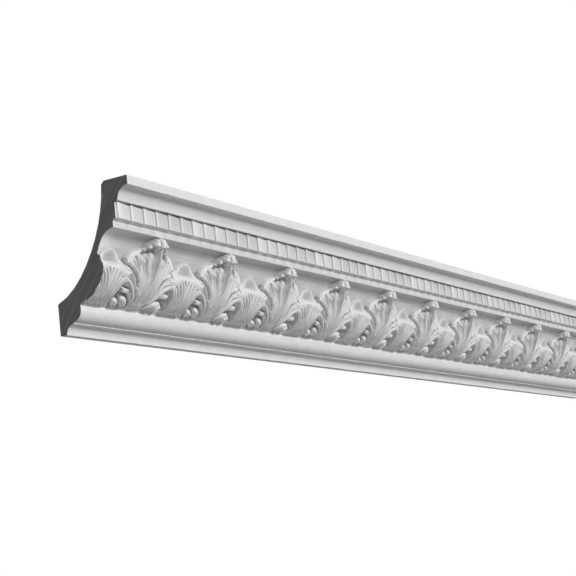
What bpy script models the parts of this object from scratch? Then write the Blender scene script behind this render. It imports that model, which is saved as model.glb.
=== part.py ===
"""Cornice moulding length: one light casting with a carved leaf band, cut square at both ends.

The run lies along X. The face that goes on the wall is on the plane Y = 0 and looks along +Y,
and the face that goes on the ceiling is the top and looks along +Z. The origin is the centre
of the wall face. The front, from the ceiling down, has a fascia, a cavetto, a strip of reeds,
a fillet, a tall band of acanthus leaves on a hollow ground, an ovolo, a bead and a cavetto.
"""
import math

import bmesh
import bpy
from mathutils import Vector

# Driving dimensions, in metres
LENGTH = 1.560                # of the run, cut square at both ends
LEAF_PITCH = 0.140            # one repeat of the leaf pattern
REEDS_PER_REPEAT = 6
DROP = 0.150                  # from the ceiling down the wall
PROJECTION = 0.100            # from the wall out along the ceiling
WALL_FACE = 0.033             # height of the face on the wall
CEILING_FACE = 0.029          # depth of the face on the ceiling
BACK_ROUNDING = 0.0035        # on the back corner of the ceiling face
BACK_STEP = 0.0015            # from the wall face in to the foot of the hollow back
BACK_SPREAD = 0.036           # how far the hollow back runs out from the wall near its foot
BACK_RISE = 0.040             # and how far it rises nearly upright behind the reeds

FASCIA_DROP = 0.0095
TOP_COVE_RADIUS = 0.0138
REED_SETBACK = 0.017          # reed faces behind the fascia
REED_DEPTH = 0.0032           # reed faces to the bottom of their grooves
REED_LENGTH = 0.0165
REED_GAP = 0.0012             # shadow gap over the reeds
REED_SHELF = 0.0026           # sloped shelf under the reeds
GROOVE_WIDTH = 0.0042         # between two reeds, at their faces
FILLET_SETBACK = 0.0222
FILLET_DROP = 0.0064

BOTTOM_EDGE = 0.0010          # upright edge at the foot of the lower cavetto
FOOT_DEPTH = 0.0085           # underside, from the wall to that edge
LOWER_COVE_RADIUS = 0.0095
BEAD_DROP = 0.0013
BEAD_DEPTH = 0.0010
OVOLO_RADIUS = 0.0112
OVOLO_DROP = 0.0060           # upright part over the ovolo
LEDGE_LIP = 0.0006            # the ovolo's top stands in front of the leaves

GROUND_DEPTH = 0.0115         # hollow ground behind the line of the leaf faces
CROWN_PROUD = 0.0080          # curled tops of the main leaves, in front of that line
CROWN_HOLLOW = 0.0030         # hollow under the curl, behind that line
LEAF_BELLY = 0.0026           # swell of the main leaf below it
FLAP_BACK = 0.0065            # the upper sides of the main leaf lean back by this
STALK_BACK = 0.0034           # the leaves' stalks stand behind that line
MIDRIB = 0.0014
FLUTE_DEPTH = 0.0020
LEAF_CAMBER = 0.0022
SMALL_LEAF_BACK = 0.0030      # the leaves between stand this far behind the line
DOME_BACK = 0.0048            # and their domed tops further
EYE_DEPTH = 0.0070            # the pierced-looking hollows between two leaves
POD_RADIUS = 0.0042
CUT_EDGE_WIDTH = 0.0013       # steep flank round a leaf

# Where the pattern is cut, from the left end to the first main leaf and to the first groove
FIRST_LEAF = 0.086
FIRST_GROOVE = 0.005

COVE_STEPS = 6
BACK_STEPS = 7
FLAT_WITHIN = 1e-6

HALF_PITCH = LEAF_PITCH / 2
REED_PITCH = LEAF_PITCH / REEDS_PER_REPEAT
TOP = DROP - WALL_FACE / 2
FOOT = -WALL_FACE / 2
FRONT = -PROJECTION

# Shares of the way down the leaf band where the carving has its rows
CROWN_LIP = 0.142
UNDER_LIP = 0.158
BAND_ROWS = (0.0, 0.03, 0.085, CROWN_LIP, UNDER_LIP, 0.24, 0.33, 0.385, 0.45, 0.54, 0.63, 0.71, 0.765,
             0.84, 0.93, 1.0)

# Shares of the way down between which the carving's parts rise or fade
GROUND_FALL = 13              # how quickly the ground falls back below the fillet
GROUND_RETURN = 10            # and how quickly it comes forward again over the ovolo
GROUND_LEFT = 0.15            # part of its depth that is left there
CROWN_RISE = 0.10
HOLLOW_END = 0.27
BELLY_FADE = (0.30, 0.65)
STALK_FADE = (0.50, 0.75)
FLAP_FADE = (0.30, 0.44)
MIDRIB_RISE = (0.17, 0.30)
MIDRIB_FADE = (0.45, 0.60)
FLUTE_RISE = (0.10, 0.20)
FLUTE_FADE = (0.60, 0.80)
DOME_END = 0.42
FAN_RISE = (0.44, 0.50)
FOLD_RISE = (0.33, 0.50)
FOLD_HEIGHT = 0.6             # height of the fold between the leaves, as a share of the small leaf's
EYE_FADE = (0.56, 0.62)
FOOT_FADE = (0.93, 1.0)

# Pods, as shares of half a repeat and of the way down: round tip, end of the tail
PODS = (((0.54, 0.80), (0.17, 0.96)), ((0.64, 0.86), (0.25, 1.0)))
POD_WIDTH = 0.085             # half width at the tip, as such a share
POD_TAPER = 0.5

# Half widths of the two leaves, as shares of half a repeat, at shares of the way down
MAIN_OUTLINE = ((0.0, 0.08), (0.03, 0.22), (0.085, 0.36), (0.15, 0.45), (0.20, 0.57), (0.29, 0.61),
                (0.35, 0.57), (0.385, 0.55), (0.42, 0.59), (0.47, 0.585), (0.54, 0.54), (0.63, 0.39),
                (0.71, 0.28), (0.84, 0.20), (1.0, 0.21))
SMALL_OUTLINE = ((0.0, 0.08), (0.22, 0.08), (0.25, 0.14), (0.33, 0.21), (0.40, 0.34), (0.46, 0.38),
                 (0.54, 0.38), (0.63, 0.29), (0.71, 0.21), (0.84, 0.185), (1.0, 0.21))

# Columns of the carving: shares of the main leaf's half width, of the gap, of the small leaf's;
# with 1 on the crest of a flute, -1 in a groove and 0 on an edge
MAIN_COLUMNS = ((0.0, 1), (0.18, -1), (0.38, 1), (0.58, -1), (0.78, 1), (1.0, 0))
GAP_COLUMNS = (0.34, 0.67)
SMALL_COLUMNS = ((1.0, 0), (0.64, -1), (0.34, 1), (0.0, -1))
SMALL_LEAF_TOP = 0.232
DOME_EDGE = 0.014             # share of the band that the dome's steep upper edge takes
KNUCKLE_DROP = 0.020          # how far the points between two knuckles hang below their arches


def ease(low, high, value):
    """0 below low, 1 above high, smooth between them."""
    t = min(max((value - low) / (high - low), 0.0), 1.0)
    return t * t * (3 - 2 * t)


def at(outline, share):
    """The outline's value at a share of the way down, on straight stretches."""
    for (a, low), (b, high) in zip(outline, outline[1:]):
        if share <= b:
            return low + (high - low) * (share - a) / (b - a)
    return outline[-1][1]


def arc(centre, radius, start, end, steps):
    """Points of an arc in the Y-Z plane, angles in degrees from +Y towards +Z."""
    points = []
    for i in range(steps + 1):
        angle = math.radians(start + (end - start) * i / steps)
        points.append((centre[0] + radius * math.cos(angle), centre[1] + radius * math.sin(angle)))
    return points


# Heights and depths of the mouldings, worked down from the ceiling and up from the foot
COVE_TOP = TOP - FASCIA_DROP
COVE_FOOT = COVE_TOP - TOP_COVE_RADIUS
REED_TOP = COVE_FOOT - REED_GAP
REED_FOOT = REED_TOP - REED_LENGTH
FILLET_TOP = REED_FOOT - REED_SHELF
FILLET_FOOT = FILLET_TOP - FILLET_DROP
REED_FACE = FRONT + REED_SETBACK
REED_ROOT = REED_FACE + REED_DEPTH
FILLET_FACE = FRONT + FILLET_SETBACK

LOWER_COVE_FRONT = -FOOT_DEPTH
LOWER_COVE_TOP = FOOT + BOTTOM_EDGE + LOWER_COVE_RADIUS
BEAD_FACE = LOWER_COVE_FRONT - LOWER_COVE_RADIUS
BEAD_TOP = LOWER_COVE_TOP + BEAD_DROP
OVOLO_FACE = BEAD_FACE + BEAD_DEPTH - OVOLO_RADIUS
OVOLO_FOOT = BEAD_TOP + OVOLO_RADIUS
BAND_FOOT = OVOLO_FOOT + OVOLO_DROP


def face_point(share):
    """The line of the leaf faces: a cyma from the fillet's foot to the ovolo's top."""
    start = (FILLET_FACE, FILLET_FOOT)
    end = (OVOLO_FACE + LEDGE_LIP, BAND_FOOT)
    height = start[1] - end[1]
    depth = end[0] - start[0]
    handles = ((start[0] + depth * 0.26, start[1] - height * 0.42), (start[0] + depth * 0.34, end[1]))
    t, u = share, 1 - share
    weights = (u ** 3, 3 * u * u * t, 3 * u * t * t, t ** 3)
    corners = (start, handles[0], handles[1], end)
    return Vector([sum(w * c[k] for w, c in zip(weights, corners)) for k in (0, 1)])


def face_normal(share):
    """Outward normal of that line, towards the room and down."""
    step = 0.01
    along = face_point(min(share + step, 1)) - face_point(max(share - step, 0))
    return Vector((along.y, -along.x)).normalized()


def ground(share):
    """The hollow ground, behind the line of the faces."""
    falling = 1 - math.exp(-share * GROUND_FALL)
    returning = 1 - (1 - GROUND_LEFT) * math.exp(-(1 - share) * GROUND_RETURN)
    return -GROUND_DEPTH * falling * returning


def main_leaf(share, across):
    """Height of the main leaf: its crown curls forward over a hollow, then it falls to its stalk."""
    if share <= CROWN_LIP:
        rise = math.sqrt(max(0.0, 1 - (1 - min(share / CROWN_RISE, 1)) ** 2))
        crown = CROWN_PROUD * rise - CROWN_HOLLOW * (1 - rise)
        return crown - (CROWN_PROUD + LEAF_CAMBER) * across ** 2
    hollow = CROWN_HOLLOW * (1 - ease(UNDER_LIP, HOLLOW_END, share)) * (1 - across ** 2)
    belly = LEAF_BELLY * (1 - ease(*BELLY_FADE, share))
    stalk = STALK_BACK * ease(*STALK_FADE, share)
    flap = FLAP_BACK * across ** 3 * (1 - ease(*FLAP_FADE, share))
    return belly - hollow - stalk - LEAF_CAMBER * across ** 2 - flap


def small_leaf(share, across):
    """Height of the leaf between: a smooth dome over fluted sides."""
    if share < SMALL_LEAF_TOP:
        return ground(share)
    dome = DOME_BACK * (1 - ease(SMALL_LEAF_TOP, DOME_END, share))
    under = FLUTE_DEPTH * ease(*FAN_RISE, share) * (1 - ease(*FLUTE_FADE, share))
    return -SMALL_LEAF_BACK - dome - under - LEAF_CAMBER * across ** 2


def pod(share, s, tip, tail):
    """A drop that runs down from its round tip to the leaf's stalk."""
    along = Vector((tail[0] - tip[0], tail[1] - tip[1]))
    here = Vector((s - tip[0], share - tip[1]))
    t = min(max(here.dot(along) / along.length_squared, 0.0), 1.0)
    gap = (here - along * t).length / (POD_WIDTH * (1 - POD_TAPER * t))
    return POD_RADIUS * max(0.0, 1 - gap * gap)


def between_leaves(share, s):
    """The gap between the leaves: ground above, a pointed eye and two pods below."""
    eye = ease(*EYE_FADE, share)
    fold = (1 - eye) * ease(*FOLD_RISE, share)
    level = ground(share) * (1 - fold) - SMALL_LEAF_BACK * fold * FOLD_HEIGHT
    level = level * (1 - eye) - EYE_DEPTH * eye
    level += max(pod(share, s, tip, tail) for tip, tail in PODS) * EYE_DEPTH / POD_RADIUS
    closing = ease(*FOOT_FADE, share)
    return level * (1 - closing) + ground(share) * closing


def carving_row(share):
    """One row of the carving, from a main leaf's axis to a small leaf's: (s, height, drop)."""
    half = at(MAIN_OUTLINE, share) * HALF_PITCH
    small = at(SMALL_OUTLINE, share) * HALF_PITCH
    flutes = FLUTE_DEPTH / 2 * ease(*FLUTE_RISE, share) * (1 - ease(*FLUTE_FADE, share))
    lip = share in (CROWN_LIP, UNDER_LIP)
    row = []
    for across, sign in MAIN_COLUMNS:
        height = main_leaf(share, across) + flutes * sign
        if across == 0:
            height += MIDRIB * ease(*MIDRIB_RISE, share) * (1 - ease(*MIDRIB_FADE, share))
        drop = KNUCKLE_DROP * (-sign / 2 + across ** 2) if lip else 0.0
        row.append((half * across, height, drop))
    left = half + CUT_EDGE_WIDTH
    right = max(HALF_PITCH - small - CUT_EDGE_WIDTH, left + CUT_EDGE_WIDTH)
    for across in (0.0,) + GAP_COLUMNS + (1.0,):
        s = left + (right - left) * across
        row.append((s, between_leaves(share, s / HALF_PITCH), 0.0))
    over_dome = SMALL_LEAF_TOP - DOME_EDGE - share if lip else 0.0
    for across, sign in SMALL_COLUMNS:
        fluting = flutes * sign * ease(*FAN_RISE, share)
        s = HALF_PITCH - (HALF_PITCH - right - CUT_EDGE_WIDTH) * across
        drop = over_dome if share == UNDER_LIP else over_dome / 2
        row.append((s, small_leaf(share + drop, across) + fluting, drop))
    return row


def leaf_row(share):
    """One row over a whole repeat, mirrored about the main leaf: (x, y, z) from its axis."""
    on_edge = share in (0.0, 1.0)
    right = []
    for s, height, drop in carving_row(share):
        place = face_point(share + drop)
        if not on_edge:
            place = place + face_normal(share + drop) * height
        right.append((s, place.x, place.y))
    left = [(-s, y, z) for s, y, z in reversed(right[1:])]
    return left + right


def straight_row(y, z, stations=None):
    """A straight line along one repeat, from -half a pitch to +half a pitch."""
    return [(x, y, z) for x in (stations or (-HALF_PITCH, HALF_PITCH))]


def reed_stations():
    """Edges and middles of the grooves within one repeat, with the repeat's ends."""
    stations = [-HALF_PITCH, HALF_PITCH]
    shift = (FIRST_GROOVE - FIRST_LEAF) % REED_PITCH
    count = 2 * REEDS_PER_REPEAT
    for i in range(-count, count):
        middle = shift + i * REED_PITCH
        for x in (middle - GROOVE_WIDTH / 2, middle, middle + GROOVE_WIDTH / 2):
            if -HALF_PITCH + 1e-6 < x < HALF_PITCH - 1e-6:
                stations.append(x)
    return sorted(stations)


def reed_row(z):
    """A row across the reeds: their faces, and the V grooves between them."""
    row = []
    for x in reed_stations():
        shift = (x - (FIRST_GROOVE - FIRST_LEAF)) % REED_PITCH
        in_groove = max(0.0, 1 - min(shift, REED_PITCH - shift) / (GROOVE_WIDTH / 2))
        row.append((x, REED_FACE + REED_DEPTH * in_groove, z))
    return row


def profile_rows():
    """All rows of one repeat, in order round the section."""
    rows = [straight_row(FRONT + CEILING_FACE, TOP), straight_row(FRONT, TOP)]
    cove_centre = (FRONT, COVE_FOOT)
    for y, z in arc(cove_centre, TOP_COVE_RADIUS, 90, 0, COVE_STEPS):
        rows.append(straight_row(y, z))
    reeds = reed_stations()
    root = REED_ROOT + REED_GAP
    rows.append(straight_row(root, COVE_FOOT))
    rows.append(straight_row(root, REED_TOP))
    rows.append(reed_row(REED_TOP))
    rows.append(reed_row(REED_FOOT))
    rows.append(straight_row(FILLET_FACE, FILLET_TOP, reeds))
    rows.extend(leaf_row(share) for share in BAND_ROWS)
    rows.append(straight_row(OVOLO_FACE, BAND_FOOT))
    ovolo_centre = (OVOLO_FACE + OVOLO_RADIUS, OVOLO_FOOT)
    for y, z in arc(ovolo_centre, OVOLO_RADIUS, 180, 270, COVE_STEPS):
        rows.append(straight_row(y, z))
    rows.append(straight_row(BEAD_FACE, BEAD_TOP))
    lower_centre = (BEAD_FACE, LOWER_COVE_TOP - LOWER_COVE_RADIUS)
    for y, z in arc(lower_centre, LOWER_COVE_RADIUS, 90, 0, COVE_STEPS):
        rows.append(straight_row(y, z))
    rows.append(straight_row(LOWER_COVE_FRONT, FOOT))
    rows.append(straight_row(0, FOOT))
    rows.append(straight_row(0, FOOT + WALL_FACE))
    rows.extend(straight_row(y, z) for y, z in back_line())
    return rows


def back_line():
    """The hollow back, from over the wall face to behind the ceiling face."""
    start = Vector((-BACK_STEP, FOOT + WALL_FACE + BACK_STEP))
    end = Vector((FRONT + CEILING_FACE + BACK_ROUNDING, TOP - BACK_ROUNDING))
    middle = Vector((start.x - BACK_SPREAD, start.y + BACK_SPREAD / 3))
    upper = Vector((end.x, end.y - BACK_RISE))
    points = []
    for i in range(BACK_STEPS + 1):
        t = i / BACK_STEPS
        u = 1 - t
        points.append(tuple(start * u ** 3 + middle * 3 * u * u * t + upper * 3 * u * t * t + end * t ** 3))
    return points


def build_run():
    """Join the rows of every repeat into one skin, then cut it square at both ends."""
    bm = bmesh.new()
    known = {}

    def vertex(x, y, z):
        key = (round(x, 7), round(y, 7), round(z, 7))
        if key not in known:
            known[key] = bm.verts.new((x, y, z))
        return known[key]

    def face(corners):
        ring = []
        for corner in corners:
            if not ring or corner is not ring[-1]:
                ring.append(corner)
        if len(set(ring)) > 2:
            bm.faces.new(ring)

    first = FIRST_LEAF - LENGTH / 2
    before = math.ceil((FIRST_LEAF - HALF_PITCH) / LEAF_PITCH)
    after = math.ceil((LENGTH - FIRST_LEAF + HALF_PITCH) / LEAF_PITCH)
    rows = profile_rows()
    for repeat in range(-before, after):
        axis = first + repeat * LEAF_PITCH
        placed = [[vertex(x + axis, y, z) for x, y, z in row] for row in rows]
        for upper, lower in zip(placed, placed[1:] + placed[:1]):
            same = len(upper) == len(lower) and len(upper) > 2
            if same:
                for i in range(len(upper) - 1):
                    face((upper[i], lower[i], lower[i + 1], upper[i + 1]))
            else:
                face(upper[::-1] + lower)
    bent = [f for f in bm.faces if len(f.verts) == 4 and bend(f) > FLAT_WITHIN]
    bmesh.ops.triangulate(bm, faces=bent, quad_method="SHORT_EDGE")
    for end in (-1, 1):
        cut = bmesh.ops.bisect_plane(bm, geom=bm.verts[:] + bm.edges[:] + bm.faces[:], dist=1e-6,
                                     plane_co=(end * LENGTH / 2, 0, 0), plane_no=(end, 0, 0),
                                     clear_outer=True)
        rim = [e for e in bm.edges if e.is_boundary
               and all(abs(v.co.x - end * LENGTH / 2) < 1e-5 for v in e.verts)]
        for v in {v for e in rim for v in e.verts}:
            v.co.x = end * LENGTH / 2
        bmesh.ops.contextual_create(bm, geom=rim)
    bmesh.ops.recalc_face_normals(bm, faces=bm.faces[:])
    return bm


def bend(quad):
    """How far a four-sided face is from flat."""
    a, b, c, d = (v.co for v in quad.verts)
    normal = (b - a).cross(c - a)
    return abs(normal.normalized().dot(d - a)) if normal.length > 0 else 0.0


def white_casting():
    material = bpy.data.materials.new("primed_white")
    material.use_nodes = True
    shader = material.node_tree.nodes["Principled BSDF"]
    shader.inputs["Base Color"].default_value = (0.78, 0.78, 0.77, 1)
    shader.inputs["Roughness"].default_value = 0.62
    shader.inputs["Metallic"].default_value = 0.0
    return material


for old in list(bpy.data.objects):
    bpy.data.objects.remove(old)

mesh = bpy.data.meshes.new("cornice")
run = build_run()
run.to_mesh(mesh)
run.free()
cornice = bpy.data.objects.new("cornice", mesh)
bpy.context.collection.objects.link(cornice)
mesh.materials.append(white_casting())
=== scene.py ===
# %% [markdown]
# # A length of carved cornice moulding
#
# The real thing is one light casting, primed white, with a carved leaf band between plain mouldings.
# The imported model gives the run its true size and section. This script makes the same casting again
# with its fine carving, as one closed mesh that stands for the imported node, and then lights it.

import math

import bmesh
import bpy
import numpy as np
from mathutils import Matrix, Vector


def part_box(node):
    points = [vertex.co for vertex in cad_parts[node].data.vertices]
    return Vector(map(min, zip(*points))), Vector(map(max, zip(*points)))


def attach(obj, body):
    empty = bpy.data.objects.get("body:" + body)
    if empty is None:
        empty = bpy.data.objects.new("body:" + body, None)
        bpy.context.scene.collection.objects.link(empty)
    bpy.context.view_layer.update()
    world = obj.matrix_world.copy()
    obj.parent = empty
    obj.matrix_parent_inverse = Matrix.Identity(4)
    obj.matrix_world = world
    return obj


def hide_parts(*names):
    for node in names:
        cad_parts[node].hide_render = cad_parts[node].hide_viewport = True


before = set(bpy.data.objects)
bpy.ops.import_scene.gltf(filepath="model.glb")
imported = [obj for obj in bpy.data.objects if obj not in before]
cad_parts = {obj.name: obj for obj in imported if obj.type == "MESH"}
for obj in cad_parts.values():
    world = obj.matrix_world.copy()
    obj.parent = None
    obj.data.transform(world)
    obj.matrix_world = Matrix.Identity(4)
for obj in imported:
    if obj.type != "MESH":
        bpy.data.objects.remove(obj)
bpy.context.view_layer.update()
low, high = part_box("cornice")
MM = 0.001
LENGTH = (high[0] - low[0]) / MM
DROP = (high[2] - low[2]) / MM
PROJECTION = (high[1] - low[1]) / MM
TOP = high[2] / MM
FRONT = low[1] / MM
FOOT = low[2] / MM
print("cornice", round(LENGTH, 1), "x", round(PROJECTION, 1), "x", round(DROP, 1), "mm")

# %% [markdown]
# ## The section
#
# A cornice is drawn as a section first: fascia, cavetto, a strip of reeds, a fillet, the leaf band,
# an ovolo, a bead and a lower cavetto. Each height is worked down from the ceiling or up from the
# foot, in millimetres, so the mouldings keep their order whatever one of them measures.

# %% Mouldings, in millimetres
LEAF_PITCH = 140.0
REEDS_PER_REPEAT = 6
FIRST_LEAF = 86.0
FIRST_STRIP = 5.0
WALL_FACE = 33.0
CEILING_FACE = 29.0
BACK_ROUNDING = 3.5
FASCIA_DROP = 9.5
TOP_COVE_RADIUS = 13.8
REED_SETBACK = 17.0
REED_LENGTH = 16.5
REED_GAP = 1.2
REED_SHELF = 2.6
STRIP_WIDTH = 4.2
FILLET_SETBACK = 22.2
FILLET_DROP = 6.4
BOTTOM_EDGE = 1.0
FOOT_DEPTH = 8.5
LOWER_COVE_RADIUS = 9.5
BEAD_DROP = 1.3
BEAD_DEPTH = 1.0
OVOLO_RADIUS = 11.2
OVOLO_DROP = 6.0
LEDGE_LIP = 0.6

COVE_TOP = TOP - FASCIA_DROP
COVE_FOOT = COVE_TOP - TOP_COVE_RADIUS
REED_TOP = COVE_FOOT - REED_GAP
REED_FOOT = REED_TOP - REED_LENGTH
FILLET_TOP = REED_FOOT - REED_SHELF
FILLET_FOOT = FILLET_TOP - FILLET_DROP
REED_FACE = FRONT + REED_SETBACK
FILLET_FACE = FRONT + FILLET_SETBACK
LOWER_COVE_FRONT = -FOOT_DEPTH
LOWER_COVE_TOP = FOOT + BOTTOM_EDGE + LOWER_COVE_RADIUS
BEAD_FACE = LOWER_COVE_FRONT - LOWER_COVE_RADIUS
BEAD_TOP = LOWER_COVE_TOP + BEAD_DROP
OVOLO_FACE = BEAD_FACE + BEAD_DEPTH - OVOLO_RADIUS
OVOLO_FOOT = BEAD_TOP + OVOLO_RADIUS
BAND_FOOT = OVOLO_FOOT + OVOLO_DROP
HALF = LEAF_PITCH / 2
REED_PITCH = LEAF_PITCH / REEDS_PER_REPEAT
print("leaf band from", round(FILLET_FOOT, 1), "to", round(BAND_FOOT, 1), "mm over the origin")


# %% The line of the leaf faces
UPPER_HANDLE = (0.26, 0.42)
LOWER_HANDLE = 0.34


def face_line(count=1500):
    """Points of the cyma that the leaves stand on, and how far down the band each one is."""
    start = np.array((FILLET_FACE, FILLET_FOOT))
    end = np.array((OVOLO_FACE + LEDGE_LIP, BAND_FOOT))
    depth = end[0] - start[0]
    drop = start[1] - end[1]
    first = start + (depth * UPPER_HANDLE[0], -drop * UPPER_HANDLE[1])
    second = np.array((start[0] + depth * LOWER_HANDLE, end[1]))
    t = np.linspace(0, 1, count)[:, None]
    u = 1 - t
    line = start * u ** 3 + first * 3 * u * u * t + second * 3 * u * t * t + end * t ** 3
    steps = np.hypot(*np.diff(line, axis=0).T)
    return line, np.concatenate(([0.0], np.cumsum(steps)))


FACE_LINE, FACE_RUN = face_line()
BAND = float(FACE_RUN[-1])
print("the leaf band is", round(BAND, 1), "mm down its face")


def on_face(v, height):
    """Y and Z of points v down the band, raised off the face line by their height."""
    reach = 1.0
    y = np.interp(v, FACE_RUN, FACE_LINE[:, 0])
    z = np.interp(v, FACE_RUN, FACE_LINE[:, 1])
    dy = np.interp(v + reach, FACE_RUN, FACE_LINE[:, 0]) - np.interp(v - reach, FACE_RUN, FACE_LINE[:, 0])
    dz = np.interp(v + reach, FACE_RUN, FACE_LINE[:, 1]) - np.interp(v - reach, FACE_RUN, FACE_LINE[:, 1])
    size = np.hypot(dy, dz)
    return y + dz / size * height, z - dy / size * height


# %% [markdown]
# ## The carving
#
# Such a band is cast from a carver's model pressed into a mould, so every point of it can be seen
# from the front, and it can be made as a height over the face line. Each form below lays its surface
# on what is there already, in the order a carver works: ground, small leaf, main leaf, crown, eye,
# arch and pods. s runs along the run from a main leaf's axis and v down the face, both in millimetres.

# %% Carving helpers
def ease(low_end, high_end, x):
    """0 below the low end, 1 above the high end, smooth between them."""
    t = np.clip((x - low_end) / (high_end - low_end), 0, 1)
    return t * t * (3 - 2 * t)


def pick(x, *pairs):
    """The value at x of a line through the pairs."""
    return np.interp(x, [p[0] for p in pairs], [p[1] for p in pairs])


def curve(points, per_stretch=16):
    """A smooth curve through the points."""
    p = np.array(points, float)
    p = np.vstack([2 * p[0] - p[1], p, 2 * p[-1] - p[-2]])
    t = np.linspace(0, 1, per_stretch, endpoint=False)[:, None]
    parts = []
    for a, b, c, d in zip(p, p[1:], p[2:], p[3:]):
        parts.append(b + 0.5 * t * (c - a + t * (2 * a - 5 * b + 4 * c - d + t * (3 * b - a - 3 * c + d))))
    return np.vstack(parts + [p[-2][None]])


def nearest(s, v, points):
    """Distance from the curve through the points, and the share of its length gone by there."""
    line = curve(points)
    steps = np.diff(line, axis=0)
    sizes = np.hypot(steps[:, 0], steps[:, 1])
    gone = np.concatenate(([0.0], np.cumsum(sizes)))
    best = np.full(s.shape, 1e9)
    share = np.zeros(s.shape)
    for start, step, size, before in zip(line, steps, sizes, gone):
        k = np.clip(((s - start[0]) * step[0] + (v - start[1]) * step[1]) / size ** 2, 0, 1)
        gap = np.hypot(s - start[0] - k * step[0], v - start[1] - k * step[1])
        closer = gap < best
        best = np.where(closer, gap, best)
        share = np.where(closer, (before + k * size) / gone[-1], share)
    return best, share


def strand(s, v, points, widths, tops, fall=2.2):
    """A rounded strand along a curve, with half widths and top heights at shares of its length."""
    gap, share = nearest(s, v, points)
    half = np.maximum(pick(share, *widths), 0.05)
    across = np.clip(gap / half, 0, 1)
    drop = 0.5 * half * (1 - np.sqrt(1 - across ** 2))
    return pick(share, *tops) - drop - fall * np.maximum(gap - half, 0)


def groove(s, v, points, width, depth, start=0.1, end=0.2):
    """A groove along a curve, fading over shares of its length at its start and end."""
    gap, share = nearest(s, v, points)
    half = width * (0.6 + 0.4 * np.sin(np.pi * share))
    fade = ease(-0.001, start, share) * (1 - ease(1 - end, 1.001, share))
    return -depth * np.exp(-(gap / half) ** 2) * fade


def cut(h, s, v, lines, width, depth, start, end):
    """The height h with a groove of one kind cut along each line."""
    for line in lines:
        h = h + groove(s, v, line, width, depth, start, end)
    return h


def lay(base, surface, mask):
    """Lay a surface over the base where the mask says, never below the base."""
    return base + (np.maximum(surface, base) - base) * mask


def sink(base, level, mask):
    """Cut the base down to a level where the mask says."""
    return base + (np.minimum(level, base) - base) * mask


def sheet(s, v, rows):
    """A smooth surface through rows of heights: each row is (v, (s, height), ...)."""
    across = np.stack([pick(s, *row[1:]) for row in rows])
    downs = np.array([row[0] for row in rows], float)
    place = np.clip(np.searchsorted(downs, v) - 1, 0, len(rows) - 2)
    t = np.clip((v - downs[place]) / (downs[place + 1] - downs[place]), 0, 1)

    def row_at(i):
        return np.take_along_axis(across, np.clip(i, 0, len(rows) - 1)[None], 0)[0]

    a, b, c, d = (row_at(place + k) for k in (-1, 0, 1, 2))
    return b + 0.5 * t * (c - a + t * (2 * a - 5 * b + 4 * c - d + t * (3 * b - a - 3 * c + d)))


# %% [markdown]
# ## Ground and small leaf
#
# Behind the leaves lies a plain hollow, the ground. A small leaf stands between each two main ones: a
# smooth dome with two shoulders, and flutes that hang from the dome's lip and flare at the foot. It
# could be sculpted by hand. A few rows of heights with a smooth surface through them were chosen,
# because each row can be corrected against the real piece by itself.

# %% Ground and small leaf
GROUND_DEPTH = 14.0
GROUND_BEND = 8.0
GROUND_RISE = 0.85


def ground(v):
    """The hollow behind the leaves, from the fillet down to the ovolo."""
    fall = 1 - np.exp(-v / GROUND_BEND)
    return -GROUND_DEPTH * fall * (1 - GROUND_RISE * np.exp(-np.maximum(BAND - v, 0) / GROUND_BEND))


SMALL_TOP = 21.6
SMALL_OUTLINE = ((SMALL_TOP, 1.0), (22.2, 4.5), (24, 9.0), (27, 12.5), (30, 15.5), (32, 19.5), (34, 24),
                 (38, 26.5), (49, 27.5), (56, 17), (62, 15), (70, 16), (76, 18.5), (82, 22.5), (88, 27),
                 (BAND, 30))
SMALL_FACE = ((18, (0, -8.2), (28, -11.5)),
              (22, (0, -7.2), (5, -8.0), (10, -10.0), (28, -12.5)),
              (26, (0, -8.6), (6, -8.7), (11, -9.6), (28, -12.5)),
              (31, (0, -11.2), (6, -10.8), (11, -9.6), (13, -8.4), (16, -9.6), (28, -11.5)),
              (35.5, (0, -12.4), (6, -11.4), (11, -9.0), (15, -7.2), (20, -7.6), (26, -7.6)),
              (38.5, (0, -4.6), (6, -4.6), (12, -4.0), (20, -4.4), (26, -4.4)),
              (42, (0, -2.6), (10, -2.6), (20, -2.0), (27, -2.0)),
              (50, (0, -1.0), (10, -0.8), (20, -1.0), (28, -1.6)),
              (60, (0, -0.2), (10, -0.4), (16, -0.8)),
              (72, (0, -0.6), (10, -0.6), (16, -1.0), (22, -3.5)),
              (84, (0, -1.4), (10, -0.9), (18, -1.0), (26, -3.0)),
              (BAND, (0, -1.6), (28, -1.4)))
SMALL_FLUTES = (((48.5, 45), (52.5, 53), (56, 62), (57, 71), (53, 81), (45, 90)),
                ((53.5, 42), (58.5, 51), (61.5, 61), (62, 71), (59, 81), (51.5, 91)),
                ((59.5, 39.5), (64, 50), (66.5, 60), (66.8, 70), (64.5, 80), (58.5, 91.5)),
                ((65.5, 38.8), (69, 49), (70, 56), (70, 66)))
FOOT_STREAKS = (((53.5, 73), (50, 80), (42, 89)),
                ((59.5, 74), (56.5, 82), (49, 90.5)),
                ((64, 76), (61.5, 84), (55, 92)),
                ((67.5, 74), (67, 83), (64, 92)))
STREAK_PITCH = 3.0
STREAK_HEIGHT = 0.3


def shoulder_streaks(x, v):
    """Fine streaks on the small leaf's shoulder, running down towards the arch."""
    along = (x - 14.0) * 0.62 + (v - 36.0) * 0.78
    across = (v - 36.0) * 0.62 - (x - 14.0) * 0.78
    streak = np.sin(across * 2 * np.pi / STREAK_PITCH + 0.35 * along)
    side = ease(10, 14, x) * (1 - ease(27, 28.5, x))
    return STREAK_HEIGHT * streak * side * ease(33.5, 37, v) * (1 - ease(46, 50, v))


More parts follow.
